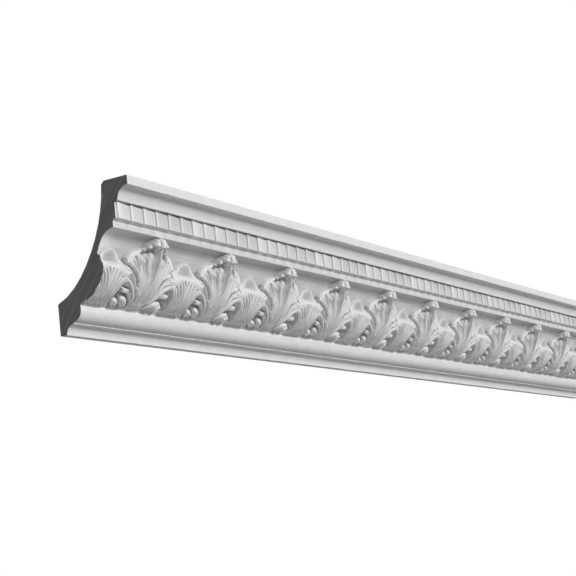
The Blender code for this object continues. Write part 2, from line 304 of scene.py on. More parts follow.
def small_leaf(h, s, v):
    """The leaf between: a smooth dome and shoulders over hanging flutes that flare at the foot."""
    x = HALF - s
    edge = (1 - ease(-0.5, 0.6, x - pick(v, *SMALL_OUTLINE))) * ease(SMALL_TOP - 0.7, SMALL_TOP + 0.3, v)
    h = lay(h, sheet(x, v, SMALL_FACE), edge)
    h = h + shoulder_streaks(x, v)
    h = cut(h, s, v, SMALL_FLUTES, 1.5, 2.8, 0.14, 0.8)
    return cut(h, s, v, FOOT_STREAKS, 0.9, 1.6, 0.3, 0.1)


print("small leaf:", len(SMALL_FLUTES), "flutes a side under a dome that starts", SMALL_TOP, "mm down")

# %% [markdown]
# ## Main leaf
#
# The main leaf is a fan. Its upper flap opens out from the midrib, a long lobe lies below the flap,
# and both run down into one stalk. The plan is two outlines, the surface is rows of heights again,
# and each flute is a soft groove along a short curve, as a gouge would leave it.

# %% Main leaf, its plan and surface
LEAF_FACE = ((8, (0, 5.0), (8, 3.0), (14, -3.0), (20, -8.0), (30, -10.0), (45, -11.0)),
             (14, (0, 4.6), (8, 1.6), (14, -2.6), (20, -6.0), (30, -8.6), (45, -10.0)),
             (18, (0, 5.0), (8, 2.0), (14, -0.4), (20, -3.2), (30, -6.6), (45, -9.3)),
             (24, (0, 3.4), (8, 1.4), (14, 0.6), (21, -2.0), (30, -4.8), (45, -7.8)),
             (32, (0, 1.6), (8, 0.6), (14, 0.2), (24, -2.2), (34, -4.4), (45, -5.8)),
             (40, (0, 1.2), (14, 0.4), (26, -1.8), (36, -2.8), (45, -3.2)),
             (48, (0, 0.2), (14, -0.2), (26, -1.3), (36, -1.6), (45, -2.0)),
             (57, (0, -1.2), (14, -1.4), (26, -2.4), (45, -3.2)),
             (66, (0, -2.2), (10, -2.5), (20, -3.4), (45, -5.0)),
             (78, (0, -2.2), (12, -3.2), (20, -5.0)),
             (BAND, (0, -0.8), (20, -1.8)))
FLAP_OUTLINE = ((9, 10), (13, 15), (16, 18), (17.2, 25), (18.2, 30), (20, 35), (23.4, 39.0), (27, 42.2),
                (30, 43.2), (33, 42.4), (34.6, 40))
FLAP_FOOT = ((0, 96), (13, 96), (15.5, 66), (17.5, 58), (21, 50), (25.5, 43.5), (30.5, 39.2), (36, 36.4),
             (43, 34.6), (46, 32))
LOBE_TOP = ((15, 74), (18.5, 62), (22, 53), (26, 46.6), (31, 43.0), (36, 41.0), (41, 40.4), (44, 42.5),
            (46, 47))
LOBE_FOOT = ((10, 88), (14, 74), (18.5, 65.5), (24.5, 58.2), (31, 53.2), (38, 50.2), (44.5, 48.6),
             (47, 47))
LOBE_HOLLOW = 2.6
LOBE_SET = 0.7
LOBE_BULGE = 1.1


def leaf_plan(s, v):
    """Where the main leaf's flap and body lie: 1 inside their outline and 0 outside it."""
    wide = pick(v, *FLAP_OUTLINE)
    above_foot = 1 - ease(-0.6, 0.5, v - pick(s, *FLAP_FOOT))
    flap = (1 - ease(-0.5, 0.5, s - wide)) * ease(9, 11, v) * (1 - ease(34.2, 35.4, v))
    body = above_foot * (1 - ease(-0.5, 0.5, s - np.where(v < 34.5, wide, 60)))
    return np.maximum(flap, body * ease(9, 11, v)) * above_foot


def lower_lobe(h, s, v, face):
    """The long lobe, convex between its upper edge and the crease, and the hollow between it and the flap."""
    top, foot = pick(s, *LOBE_TOP), pick(s, *LOBE_FOOT)
    under_flap = ease(-0.6, 0.4, v - pick(s, *FLAP_FOOT)) * (1 - ease(-0.6, 0.4, v - top))
    hollow = under_flap * (1 - ease(40.5, 43.0, s)) * ease(14, 17, s)
    h = sink(lay(h, face - LOBE_HOLLOW, hollow), face - LOBE_HOLLOW, hollow)
    middle = np.clip((v - top) / np.maximum(foot - top, 0.5), 0, 1)
    lobe = face - LOBE_SET + LOBE_BULGE * np.sin(np.pi * middle)
    inside = ease(-0.5, 0.5, v - top) * (1 - ease(-0.3, 0.8, v - foot)) * (1 - ease(43.2, 44.6, s))
    return lay(h, lobe, inside)


# %% Main leaf, its flutes
UNDER_FLAP = ((42, 33.5), (36, 36.2), (30.5, 39.2), (25.5, 43.5), (21, 50), (17.5, 58), (15.5, 66))
# Each flute between the knuckles: its line, its width and its depth
FLUTES = ((((13.2, 15), (15.6, 22), (13.8, 34), (10.5, 46), (7.5, 58)), 1.5, 3.8),
          (((18.6, 17.5), (20.2, 23), (17.6, 34), (13.5, 46), (9.8, 58)), 1.4, 3.4),
          (((23.6, 19.5), (24.6, 25), (21.4, 34), (17.0, 45), (12.5, 58)), 1.4, 2.8))
HOOK_LINE = ((31.5, 24.0), (29.6, 26.2), (27.2, 31), (23.2, 38), (18.6, 47), (14.5, 57))
RIB_SIDE = ((7.6, 13), (7.8, 22), (6.6, 34), (4.4, 48))
FINE_LINES = (((5.5, 27), (4.2, 38), (3.2, 50)),
              ((9.5, 26), (8.0, 36), (5.8, 50)),
              ((16.8, 24), (14.6, 34), (11.5, 45)),
              ((21.6, 26), (18.8, 36), (14.5, 47)),
              ((27.5, 28), (24.0, 35), (19.5, 44)),
              ((34, 28), (29.5, 34.5), (24.5, 41)))
LOWER_STREAKS = (((37.5, 42.6), (31, 45.5), (25.5, 50.5), (20.5, 58)),
                 ((40.0, 44.6), (34.5, 46.8), (28.5, 51.0), (22.5, 58.5)),
                 ((36.5, 49.2), (31.5, 51.6), (26, 56.5)),
                 ((29, 44.2), (25.2, 48.0), (21.5, 53.5), (18.0, 61)))


def leaf_grooves(h, s, v):
    """Under the flap, between the knuckles, hooked by the flap, beside the midrib, and fine lines."""
    h = cut(h, s, v, [UNDER_FLAP], 2.0, 2.6, 0.02, 0.5)
    for line, width, depth in FLUTES:
        h = cut(h, s, v, [line], width, depth, 0.02, 0.7)
    h = cut(h, s, v, [HOOK_LINE], 1.5, 2.3, 0.03, 0.7)
    h = cut(h, s, v, [RIB_SIDE], 3.4, 3.4, 0.02, 0.95)
    h = cut(h, s, v, FINE_LINES, 0.9, 1.3, 0.25, 0.4)
    return cut(h, s, v, LOWER_STREAKS, 1.0, 1.9, 0.1, 0.4)


# %% Main leaf, its stalk and midrib
STALK_OUTLINE = ((56, 22), (65, 16), (74, 11.8), (83, 10.2), (BAND, 13))
DART = ((9.6, 60), (10.4, 66), (9.6, 72))
DART_WIDTHS = ((0, 0.3), (0.55, 2.0), (1, 0.5))
DART_TOPS = ((0, -3.2), (0.5, -1.6), (1, -3.4))
STALK_SIDE = ((5.2, 58), (6.2, 66), (6.0, 76), (7.5, 86))
STALK_MIDDLE = ((1.2, 60), (1.4, 70), (2.2, 84))
RIB_HEIGHTS = ((14, 3.0), (24, 3.4), (34, 3.0), (46, 2.0), (56, 0.0))
RIB_WIDTHS = ((14, 2.0), (24, 1.6), (46, 1.2))


def stalk(h, s, v, face):
    """The stalk with its bright dart and its streaks."""
    shown = (1 - ease(-0.6, 0.8, s - pick(v, *STALK_OUTLINE))) * ease(54, 60, v)
    h = np.maximum(lay(h, face, shown), strand(s, v, DART, DART_WIDTHS, DART_TOPS))
    h = cut(h, s, v, [STALK_SIDE], 1.5, 1.1, 0.3, 0.4)
    return cut(h, s, v, [STALK_MIDDLE], 1.0, 0.7, 0.4, 0.4)


def midrib(s, v):
    """How far the midrib stands over the leaf, highest near its top."""
    ridge = pick(v, *RIB_HEIGHTS) * np.exp(-(s / pick(v, *RIB_WIDTHS)) ** 2)
    return ridge * ease(12, 15, v) * (1 - ease(46, 56, v))


def main_leaf(h, s, v):
    """The big leaf below its crown: upper flap, long lower lobe, flutes, stalk and midrib."""
    face = sheet(s, v, LEAF_FACE)
    h = lay(h, face, leaf_plan(s, v))
    h = lower_lobe(h, s, v, face)
    h = leaf_grooves(h, s, v)
    return stalk(h, s, v, face) + midrib(s, v)


print("main leaf:", len(FLUTES) + 1, "deep flutes and", len(FINE_LINES), "fine lines a side")

# %% [markdown]
# ## Crown
#
# The leaf's tip curls forward over itself. On a casting the curl is closed behind, so it is a wall
# that climbs steeply from the ground and ends in a lip. The lip is scalloped in knuckles, a broad one
# in the middle and three a side, and each throws a shadow into the hollow under it.

# %% Crown
CROWN_EDGE = ((0, 0.9), (3.5, 1.6), (6.6, 3.6), (8.8, 5.8), (11.0, 7.6), (12.9, 9.0), (15.3, 12.0),
              (17.4, 14.0), (20, 15.6), (24, 17.2), (27, 19))
LIP_HEIGHT = ((0, 8.8), (4.8, 7.8), (8.5, 5.6), (12.0, 2.6), (14.6, 1.0), (17.3, -1.0), (20.5, -3.8),
              (24, -6.0), (27, -7.4))
# Knuckles: where each starts and ends, the lip at its middle, and at its outer end
KNUCKLES = ((-4.9, 4.9, 10.4, 15.8),
            (4.9, 12.2, 9.4, 16.4),
            (12.2, 17.5, 13.2, 18.4),
            (17.5, 23.4, 16.2, 19.8))
ARCH_POWER = 3.6
STEP_POWER = 4
ROLL_SHARE = 0.7
ROLL_END = 0.2
KNUCKLE_BULGE = 1.6
KNUCKLE_CREASE = 2.8
UNDERCUT = ((0, 11.8), (8, 10.8), (15, 7.6), (20, 5.2), (24, 3.0))
RIB_TOP = ((0, 12), (0, 30))


def knuckle_shapes(s):
    """Across the crown: how far down the lip is, the bulge, and s with a step at each knuckle's end."""
    lip = np.full(s.shape, KNUCKLES[-1][3])
    bulge = np.zeros(s.shape)
    stepped = s.copy()
    before = KNUCKLES[0][3]
    for start, end, arch_top, point in KNUCKLES:
        across = (2 * s - start - end) / (end - start)
        side = np.abs(np.clip(across, -1, 1))
        here = (s >= start) & (s <= end)
        hanging = np.where(across < 0, before, point)
        lip = np.where(here, arch_top + (hanging - arch_top) * side ** ARCH_POWER, lip)
        bulge = np.where(here, 1 - side ** 2, bulge)
        if start > 0:
            late = np.clip((across + 1) / 2, 0, 1) ** STEP_POWER
            stepped = np.where(here, start + (end - start) * late, stepped)
        before = point
    return lip, bulge, stepped


def curl_surface(share, base, bulge, stepped):
    """The curl's own height at a share of the way from its top edge to its lip."""
    lip_line = pick(stepped, *LIP_HEIGHT) - 1.2 + KNUCKLE_BULGE * np.sqrt(bulge)
    quarter = np.sqrt(np.clip(1 - (1 - np.clip(share / ROLL_END, 0, 1)) ** 2, 0, 1))
    roll = ROLL_SHARE * quarter + (1 - ROLL_SHARE) * share
    crease = np.exp(-((1 - np.sqrt(1 - bulge)) / 0.22) ** 2)
    curl = base + (lip_line - base) * roll - 0.8 * ease(0.9, 1.0, share)
    return curl - KNUCKLE_CREASE * crease * ease(0.0, 0.5, share)


def crown(h, s, v):
    """The curled-over top: scalloped knuckles, each arched over its hollow, and the midrib's top."""
    lip, bulge, stepped = knuckle_shapes(s)
    top = pick(s, *CROWN_EDGE) - 0.5 * bulge
    share = np.clip((v - top) / np.maximum(lip - top, 0.8), 0, 1)
    curl = curl_surface(share, ground(top) + 0.6, bulge, stepped)
    inside = ease(-0.5, 0.3, v - top) * (1 - ease(-0.1, 0.6, v - lip)) * (1 - ease(23.0, 25.5, s))
    hollow = ease(0.0, 0.6, v - lip) * (1 - ease(2.5, 12.5, v - lip)) * (1 - ease(22.5, 25.5, s))
    h = sink(h, pick(s, *LIP_HEIGHT) - pick(s, *UNDERCUT), hollow)
    rib = strand(s, v, RIB_TOP, ((0, 1.3), (1, 1.3)), ((0, 6.0), (0.6, 6.2), (1, 4.4)))
    return lay(np.maximum(h, rib), curl, inside)


print("crown:", 2 * len(KNUCKLES) - 1, "knuckles, the highest", LIP_HEIGHT[0][1], "mm over the face line")

# %% [markdown]
# ## Eye, arch and slit
#
# Where a main leaf meets a small one, the lobe's edge sweeps up and over in a pointed arch. The
# hollow inside it, the eye, holds a small tooth, and a slit runs from it down to the stalk. The arch
# is three rounded strands, laid over a hollow that is sunk first.

# %% Eye
EYE_LINE = ((45, 57.5), (41, 62), (38, 67.5))
EYE_WIDTHS = ((0, 1.2), (0.5, 7.0), (1, 12))
EYE_DEPTH = 5.4
CREASE = ((44.5, 48.6), (38, 50.2), (31, 53.2), (24.5, 58.2), (18.5, 65.5), (13.8, 74), (11.2, 83))
EYE_BROW = ((45, 48.4), (51, 51), (56, 57), (58.6, 65))


def eye(h, s, v):
    """The hollow where two leaves meet, with the creases above and below it."""
    gap, share = nearest(s, v, EYE_LINE)
    hole = (1 - ease(-1.0, 1.0, gap - pick(share, *EYE_WIDTHS))) * (1 - ease(69.5, 71.0, v))
    h = sink(h, -EYE_DEPTH, hole)
    h = cut(h, s, v, [CREASE], 2.2, 3.4, 0.03, 0.15)
    return cut(h, s, v, [EYE_BROW], 1.3, 2.2, 0.05, 0.3)


# %% Arch
ARCH_INNER = ((8, 87), (12.5, 80), (18.5, 71.5), (25.0, 62.8), (32, 56.2), (42, 49.8))
INNER_WIDTHS = ((0, 3.0), (0.4, 3.6), (0.8, 3.4), (1, 2.4))
INNER_TOPS = ((0, -3.6), (0.4, -1.8), (1, -0.8))
ARCH_OUTERS = (((42, 50.6), (46, 53.5), (49.2, 58.5), (51.2, 64), (52.4, 70), (51.6, 77)),
               ((42, 49.0), (49.0, 51.2), (53.4, 57), (55.8, 63), (57.2, 70), (56.8, 77)))
OUTER_WIDTHS = ((0, 1.6), (0.3, 2.1), (1, 2.0))
OUTER_TOPS = ((0, -0.8), (0.4, -1.0), (1, -2.8))
ARCH_STREAKS = ((0.6, 1.1), (2.4, 0.9))
INSIDE_ARCH = ((25, 67), (31, 61), (38, 56.6), (43.5, 55.8), (47.0, 59), (49.2, 65), (49.8, 70))


def arch(h, s, v):
    """The pointed arch over the eye: one broad strand, two thin ones, and the lines along them."""
    h = np.maximum(h, strand(s, v, ARCH_INNER, INNER_WIDTHS, INNER_TOPS))
    for line in ARCH_OUTERS:
        h = np.maximum(h, strand(s, v, line, OUTER_WIDTHS, OUTER_TOPS))
    for shift, depth in ARCH_STREAKS:
        line = ((13 + shift, 80), (19 + shift, 71.5), (25.5 + shift, 63), (32.5 + shift, 56.6),
                (39.5 + shift / 2, 51.8))
        h = cut(h, s, v, [line], 0.7, depth, 0.3, 0.1)
    return cut(h, s, v, [INSIDE_ARCH], 1.4, 3.2, 0.2, 0.2)


# %% Tooth and slit
TOOTH_LINE = ((40.6, 61.8), (35.6, 67.5))
TOOTH_HALF = ((0, 0.6), (1, 9.5))
TOOTH_TOP = -2.4
TOOTH_ENDS = (61.4, 67.6)
SLIT = ((52, 68.0), (45, 68.2), (36, 68.6), (28, 70.2), (22, 74.4), (16.5, 80.4), (12, 87))


def tooth_and_slit(h, s, v):
    """The small tooth that stands in the eye, and the slit under it."""
    gap, share = nearest(s, v, TOOTH_LINE)
    beyond = np.maximum(gap - pick(share, *TOOTH_HALF), 0)
    tooth = TOOTH_TOP - 0.10 * gap ** 1.2 - 2.5 * beyond
    tooth = tooth - 4.0 * np.maximum(v - TOOTH_ENDS[1], 0) - 4.0 * np.maximum(TOOTH_ENDS[0] - v, 0)
    return cut(np.maximum(h, tooth), s, v, [SLIT], 1.9, 5.0, 0.12, 0.3)


# %% [markdown]
# ## Pods
#
# In the hollow under the eye lie two drops with tails. Each is a strand that widens towards its
# head, so its round comes from the same helper as the arch.

# %% Pods
PIT_LINE = ((20, 88), (30, 81), (42, 79))
PIT_WIDTHS = ((0, 3), (0.5, 8), (1, 9))
PIT_DEPTH = 5.0
POD_LINES = (((14, 93), (20, 86.5), (26.5, 80.5), (33.2, 75.6)),
             ((27, 95), (31.5, 90.5), (36.5, 85.5), (41.4, 81.2)))
POD_WIDTHS = ((0, 3.6), (0.45, 4.6), (0.75, 4.9), (0.92, 4.0), (1, 2.6))
POD_TOPS = ((0, -2.6), (0.4, -1.8), (0.82, -1.0), (1, -2.0))
POD_FALL = 3.4
POD_STREAKS = (((17, 91), (22.5, 85.5), (28, 80.5)), ((29.5, 92), (34, 88), (38.5, 84)))


def pods(h, s, v):
    """Two drops side by side in the hollow under the eye, with tails that run to the stalk."""
    gap, share = nearest(s, v, PIT_LINE)
    pit = (1 - ease(-1.5, 1.5, gap - pick(share, *PIT_WIDTHS))) * (1 - ease(88, 91.5, v)) * ease(68, 71, v)
    h = sink(h, -PIT_DEPTH, pit)
    for line in POD_LINES:
        h = np.maximum(h, strand(s, v, line, POD_WIDTHS, POD_TOPS, POD_FALL))
    return cut(h, s, v, POD_STREAKS, 0.8, 1.2, 0.2, 0.2)


# %% The whole band
FOOT_REACH = 3.5
LIP = 0.6
LIP_SETBACK = 1.9


def ragged(s):
    """An uneven line along the foot of the leaves, the same in every repeat."""
    turn = 2 * np.pi * s / LEAF_PITCH
    slow = 0.25 * np.cos(17 * turn + 1.3 * np.cos(5 * turn))
    return slow + 0.25 * np.cos(37 * turn + 0.7) + 0.15 * np.cos(9 * turn)


def height(s, v):
    """Height of the carving over the face line, mirrored about each leaf's axis."""
    s = np.abs(s)
    s = np.where(s > HALF, LEAF_PITCH - s, s)
    h = ground(v)
    for carve in (small_leaf, main_leaf, crown, eye, arch, tooth_and_slit, pods):
        h = carve(h, s, v)
    h = h * ease(0, 1.0, v) * np.clip((BAND - v) / FOOT_REACH, 0, 1)
    edge = BAND - LIP_SETBACK + ragged(s)
    return h + LIP * ease(-0.5, 0.2, v - edge) * (1 - ease(BAND - 0.7, BAND, v))


sample_s, sample_v = np.meshgrid(np.linspace(-HALF, HALF, 141), np.linspace(0, BAND, 94))
sample = height(sample_s, sample_v)
print("carving from", round(sample.min(), 1), "to", round(sample.max(), 1), "mm off the face line")

# %% [markdown]
# ## One repeat of the casting
#
# The leaf band is a fine grid raised by the height, thinned where it is smooth and left whole along
# its borders, so that the next repeat meets it point for point. Straight rows for the mouldings are
# then hung on its upper and lower borders, all round the section.

# %% The leaf tile
COLUMN_STEP = 0.55
ROW_STEP = 0.6
TILE_TRIANGLES = 16600


def leaf_grid():
    """The points and four-sided faces of the carved band over one repeat."""
    columns = np.linspace(-HALF, HALF, round(LEAF_PITCH / COLUMN_STEP) + 1)
    rows = np.linspace(0, BAND, round(BAND / ROW_STEP) + 1)
    s, v = np.meshgrid(columns, rows)
    y, z = on_face(v, height(s, v))
    points = np.stack((s, y, z), -1).reshape(-1, 3) * MM
    index = np.arange(s.size).reshape(s.shape)
    quads = np.stack((index[:-1, :-1], index[1:, :-1], index[1:, 1:], index[:-1, 1:]), -1).reshape(-1, 4)
    return points, quads, index


def evaluated_mesh(thing, name):
    """The thing's mesh with its modifiers applied."""
    graph = bpy.context.evaluated_depsgraph_get()
    mesh = bpy.data.meshes.new_from_object(thing.evaluated_get(graph))
    mesh.name = name
    return mesh


def leaf_tile():
    """The carved band over one repeat, as a thinned mesh with whole borders."""
    points, quads, index = leaf_grid()
    mesh = bpy.data.meshes.new("leaf_tile")
    mesh.from_pydata(points.tolist(), [], quads.tolist())
    tile = bpy.data.objects.new("leaf_tile", mesh)
    bpy.context.collection.objects.link(tile)
    inner = tile.vertex_groups.new(name="inner")
    inner.add(index[1:-1, 1:-1].ravel().tolist(), 1.0, "REPLACE")
    thin = tile.modifiers.new("thin", "DECIMATE")
    thin.vertex_group = "inner"
    thin.ratio = TILE_TRIANGLES / (2 * len(quads))
    done = evaluated_mesh(tile, "leaf_tile_thin")
    bpy.data.objects.remove(tile)
    print("leaf tile:", 2 * len(quads), "triangles, thinned to", len(done.polygons))
    return done


# %% [markdown]
# ## Rows of the mouldings
#
# A plain moulding needs only a row of points at each corner or curve step of its section, from one
# end of the repeat to the other. Only the reeds need more: each has a flat raised strip along its left
# edge and a body that slopes back towards the next one, under a narrow slot.

# %% Arcs and straight rows
COVE_STEPS = 12
BACK_STEPS = 10


def arc(centre, radius, start, end, steps):
    """Points of an arc in the section, with angles in degrees from the wall up."""
    angles = np.radians(np.linspace(start, end, steps + 1))
    return [(centre[0] + radius * math.cos(a), centre[1] + radius * math.sin(a)) for a in angles]


def straight_row(y, z, stations=(-HALF, HALF)):
    """One row of points along the run."""
    return [(x, y, z) for x in stations]


# %% Reeds
STRIP_WALL = 0.6
BODY_START = 0.3
BODY_FOOT = 1.3
SLOT_DEPTH = 1.9
SLOT_HEIGHT = 0.45


def reed_profile():
    """Places and depths across one reed, from its left edge: wall, flat raised strip, sloping body."""
    return ((0.0, BODY_FOOT), (STRIP_WALL, 0.0), (STRIP_WIDTH, 0.0), (STRIP_WIDTH + STRIP_WALL, BODY_START))


def reed_row(z):
    """A row across the reeds of one repeat, with the depths filled in at its two ends."""
    row = []
    start = (FIRST_STRIP - FIRST_LEAF - STRIP_WIDTH / 2) % REED_PITCH
    for i in range(-2 * REEDS_PER_REPEAT, 2 * REEDS_PER_REPEAT):
        for across, depth in reed_profile():
            row.append((start + i * REED_PITCH + across, REED_FACE + depth, z))
    places, faces = [p[0] for p in row], [p[1] for p in row]
    ends = [(x, float(np.interp(x, places, faces)), z) for x in (-HALF, HALF)]
    return sorted(ends + [p for p in row if -HALF < p[0] < HALF])


def rows_above():
    """Rows from the back of the ceiling face round the front to the fillet's top."""
    rows = [straight_row(FRONT + CEILING_FACE, TOP), straight_row(FRONT, TOP)]
    rows += [straight_row(y, z) for y, z in arc((FRONT, COVE_FOOT), TOP_COVE_RADIUS, 90, 0, COVE_STEPS)]
    slot_root = REED_FACE + SLOT_DEPTH
    slot_foot = COVE_FOOT - SLOT_HEIGHT
    rows += [straight_row(slot_root, COVE_FOOT), straight_row(slot_root, slot_foot)]
    rows += [reed_row(slot_foot), reed_row(REED_FOOT)]
    rows.append(straight_row(FILLET_FACE, FILLET_TOP, [p[0] for p in reed_row(0)]))
    return rows


# %% Back and foot
BACK_START = (-1.5, 1.0)
LOWER_PULL = (-36.0, 12.0)
UPPER_PULL = (1.0, -40.0)


def back_line():
    """The hollow back, from over the wall face to behind the ceiling face."""
    start = Vector((BACK_START[0], FOOT + WALL_FACE + BACK_START[1]))
    end = Vector((FRONT + CEILING_FACE + BACK_ROUNDING, TOP - BACK_ROUNDING))
    middle = start + Vector(LOWER_PULL)
    upper = end + Vector(UPPER_PULL)
    points = []
    for i in range(BACK_STEPS + 1):
        t = i / BACK_STEPS
        u = 1 - t
        points.append(tuple(start * u ** 3 + middle * 3 * u * u * t + upper * 3 * u * t * t + end * t ** 3))
    return points


def rows_below():
    """Rows from the ovolo's top edge round the foot and up the back."""
    rows = [straight_row(OVOLO_FACE, BAND_FOOT)]
    ovolo_centre = (OVOLO_FACE + OVOLO_RADIUS, OVOLO_FOOT)
    rows += [straight_row(y, z) for y, z in arc(ovolo_centre, OVOLO_RADIUS, 180, 270, COVE_STEPS)]
    rows.append(straight_row(BEAD_FACE, BEAD_TOP))
    lower_centre = (BEAD_FACE, LOWER_COVE_TOP - LOWER_COVE_RADIUS)
    rows += [straight_row(y, z) for y, z in arc(lower_centre, LOWER_COVE_RADIUS, 90, 0, COVE_STEPS)]
    rows.append(straight_row(LOWER_COVE_FRONT, FOOT))
    rows.append(straight_row(0, FOOT))
    rows.append(straight_row(0, FOOT + WALL_FACE))
    rows += [straight_row(y, z) for y, z in back_line()]
    return rows


print("rows above and below the band:", len(rows_above()), "and", len(rows_below()))

# %% One repeat
NEAR = 1e-6
SAME_PLACE = 1e-7


def tile_borders(bm):
    """The tile's upper and lower border points, from left to right."""
    border = [v for v in bm.verts if v.is_boundary]
    foot_y = (OVOLO_FACE + LEDGE_LIP) * MM
    upper = [v for v in border if abs(v.co.z - FILLET_FOOT * MM) < NEAR]
    lower = [v for v in border if abs(v.co.z - BAND_FOOT * MM) < NEAR and abs(v.co.y - foot_y) < NEAR]
    print("borders:", len(upper), "and", len(lower), "points")
    return sorted(upper, key=lambda v: v.co.x), sorted(lower, key=lambda v: v.co.x)


def join_rows(bm, a, b):
    """Faces between two rows: one for each step where the rows match, or else one in all."""
    if len(a) == len(b) and len(a) > 2:
        for i in range(len(a) - 1):
            bm.faces.new((a[i], b[i], b[i + 1], a[i + 1]))
    else:
        bm.faces.new(a[::-1] + b)


def one_repeat():
    """The whole section over one repeat, open at its two ends."""
    bm = bmesh.new()
    bm.from_mesh(leaf_tile())
    upper, lower = tile_borders(bm)

    def add(row):
        return [bm.verts.new((x * MM, y * MM, z * MM)) for x, y, z in row]

    over = [add(row) for row in rows_above()] + [upper]
    under = [lower] + [add(row) for row in rows_below()]
    for chain in (over, under, [under[-1], over[0]]):
        for a, b in zip(chain, chain[1:]):
            join_rows(bm, a, b)
    bmesh.ops.triangulate(bm, faces=[f for f in bm.faces if len(f.verts) > 4])
    bmesh.ops.remove_doubles(bm, verts=bm.verts[:], dist=SAME_PLACE)
    mesh = bpy.data.meshes.new("one_repeat")
    bm.to_mesh(mesh)
    bm.free()
    return mesh


repeat_mesh = one_repeat()
print("one repeat:", len(repeat_mesh.polygons), "faces")

# %% [markdown]
# ## The finish
#
# The casting leaves its mould with a matte white primer, and the saw bares foam at its ends. One
# procedural material does both: a mask from the object's own X picks the cut planes, and nothing has
# to be unwrapped. The cut ends are given a darker grey that is partly painted shade. On the carved band
# and the reeds the primer is darkened by painted shade in the recesses and lightened by painted
# highlight on the ridges, which the mesh's own bends tell.

# %% The finish, its values
PRIMER = 0.80
PRIMER_SHADE = 0.95
PRIMER_WARMTH = 0.995
# Grey of the cut ends: partly bare foam, partly painted shade on faces turned from the light
FOAM_AND_PAINTED_SHADE_GREY = 0.27
FOAM_DARK, FOAM_LIGHT = 0.84, 1.25
CUT_DEPTH = 0.15
# Bends and strengths of the painted shade in the recesses and the painted highlight on the ridges of the band
# and reeds
RECESS_BEND, RIDGE_BEND = 0.42, 0.58
RECESS_PAINTED_SHADE, RIDGE_PAINTED_HIGHLIGHT = 0.68, 1.16
BAND_MARGIN = 0.5
SAW_ANGLE = 38
SAW_STRETCH = 14


def node(tree, kind, **values):
    """A new node with values on its sockets, by name."""
    made = tree.nodes.new(kind)
    for name, value in values.items():
        made.inputs[name].default_value = value
    return made


def maths(tree, operation, first, *others):
    """The result of a Math node: its first input is a socket, the others are sockets or values."""
    made = tree.nodes.new("ShaderNodeMath")
    made.operation = operation
    tree.links.new(first, made.inputs[0])
    for i, other in enumerate(others, 1):
        if isinstance(other, bpy.types.NodeSocket):
            tree.links.new(other, made.inputs[i])
        else:
            made.inputs[i].default_value = other
    return made.outputs[0]


def ramp(tree, factor, low_end, low_colour, high_end, high_colour):
    """A colour that runs between two others over a factor."""
    made = tree.nodes.new("ShaderNodeValToRGB")
    for stop, place, colour in zip(made.color_ramp.elements, (low_end, high_end), (low_colour, high_colour)):
        stop.position = place
        stop.color = (*colour, 1)
    tree.links.new(factor, made.inputs["Fac"])
    return made.outputs["Color"]


# %% The finish, its parts
def primer_colour(tree, mottle):
    """White primer with a faint mottle."""
    dark = PRIMER * PRIMER_SHADE
    low_stop = (dark, dark, dark * PRIMER_WARMTH)
    high_stop = (PRIMER, PRIMER, PRIMER * PRIMER_WARMTH)
    return ramp(tree, mottle, 0.3, low_stop, 0.7, high_stop)


def band_painted_shade_and_highlight(tree, up):
    """On the band and the reeds, painted shade under 1 in the recesses and painted highlight over 1 on the
    ridges; 1 everywhere else.
    """
    middle = (REED_TOP + OVOLO_FOOT) / 2 * MM
    reach = ((REED_TOP - OVOLO_FOOT) / 2 + BAND_MARGIN) * MM
    in_band = maths(tree, "COMPARE", up, middle, reach)
    change = node(tree, "ShaderNodeMapRange", **{"From Min": RECESS_BEND, "From Max": RIDGE_BEND,
                                                 "To Min": RECESS_PAINTED_SHADE - 1, "To Max": RIDGE_PAINTED_HIGHLIGHT - 1})
    change.interpolation_type = "SMOOTHSTEP"
    bend = tree.nodes.new("ShaderNodeNewGeometry").outputs["Pointiness"]
    tree.links.new(bend, change.inputs["Value"])
    return maths(tree, "MULTIPLY_ADD", change.outputs["Result"], in_band, 1.0)


def foam_and_painted_shade_colour(tree, place):
    """Grey with the streaks that a saw leaves; the grey is partly bare foam and partly painted shade on the
    cut ends.
    """
    saw = tree.nodes.new("ShaderNodeMapping")
    saw.vector_type = "TEXTURE"
    saw.inputs["Rotation"].default_value = (math.radians(SAW_ANGLE), 0, 0)
    saw.inputs["Scale"].default_value = (1, 1, SAW_STRETCH)
    tree.links.new(place, saw.inputs["Vector"])
    streaks = node(tree, "ShaderNodeTexNoise", Scale=260.0, Detail=3.0)
    tree.links.new(saw.outputs["Vector"], streaks.inputs["Vector"])
    dark, light = FOAM_AND_PAINTED_SHADE_GREY * FOAM_DARK, FOAM_AND_PAINTED_SHADE_GREY * FOAM_LIGHT
    return ramp(tree, streaks.outputs["Fac"], 0.35, (dark, dark, dark), 0.72, (light, light, light))


def primer_grain(tree, place):
    """A fine grain for the normal."""
    grain = node(tree, "ShaderNodeTexNoise", Scale=900.0, Detail=2.0)
    tree.links.new(place, grain.inputs["Vector"])
    bump = node(tree, "ShaderNodeBump", Strength=0.12, Distance=0.0004)
    tree.links.new(grain.outputs["Fac"], bump.inputs["Height"])
    return bump.outputs["Normal"]


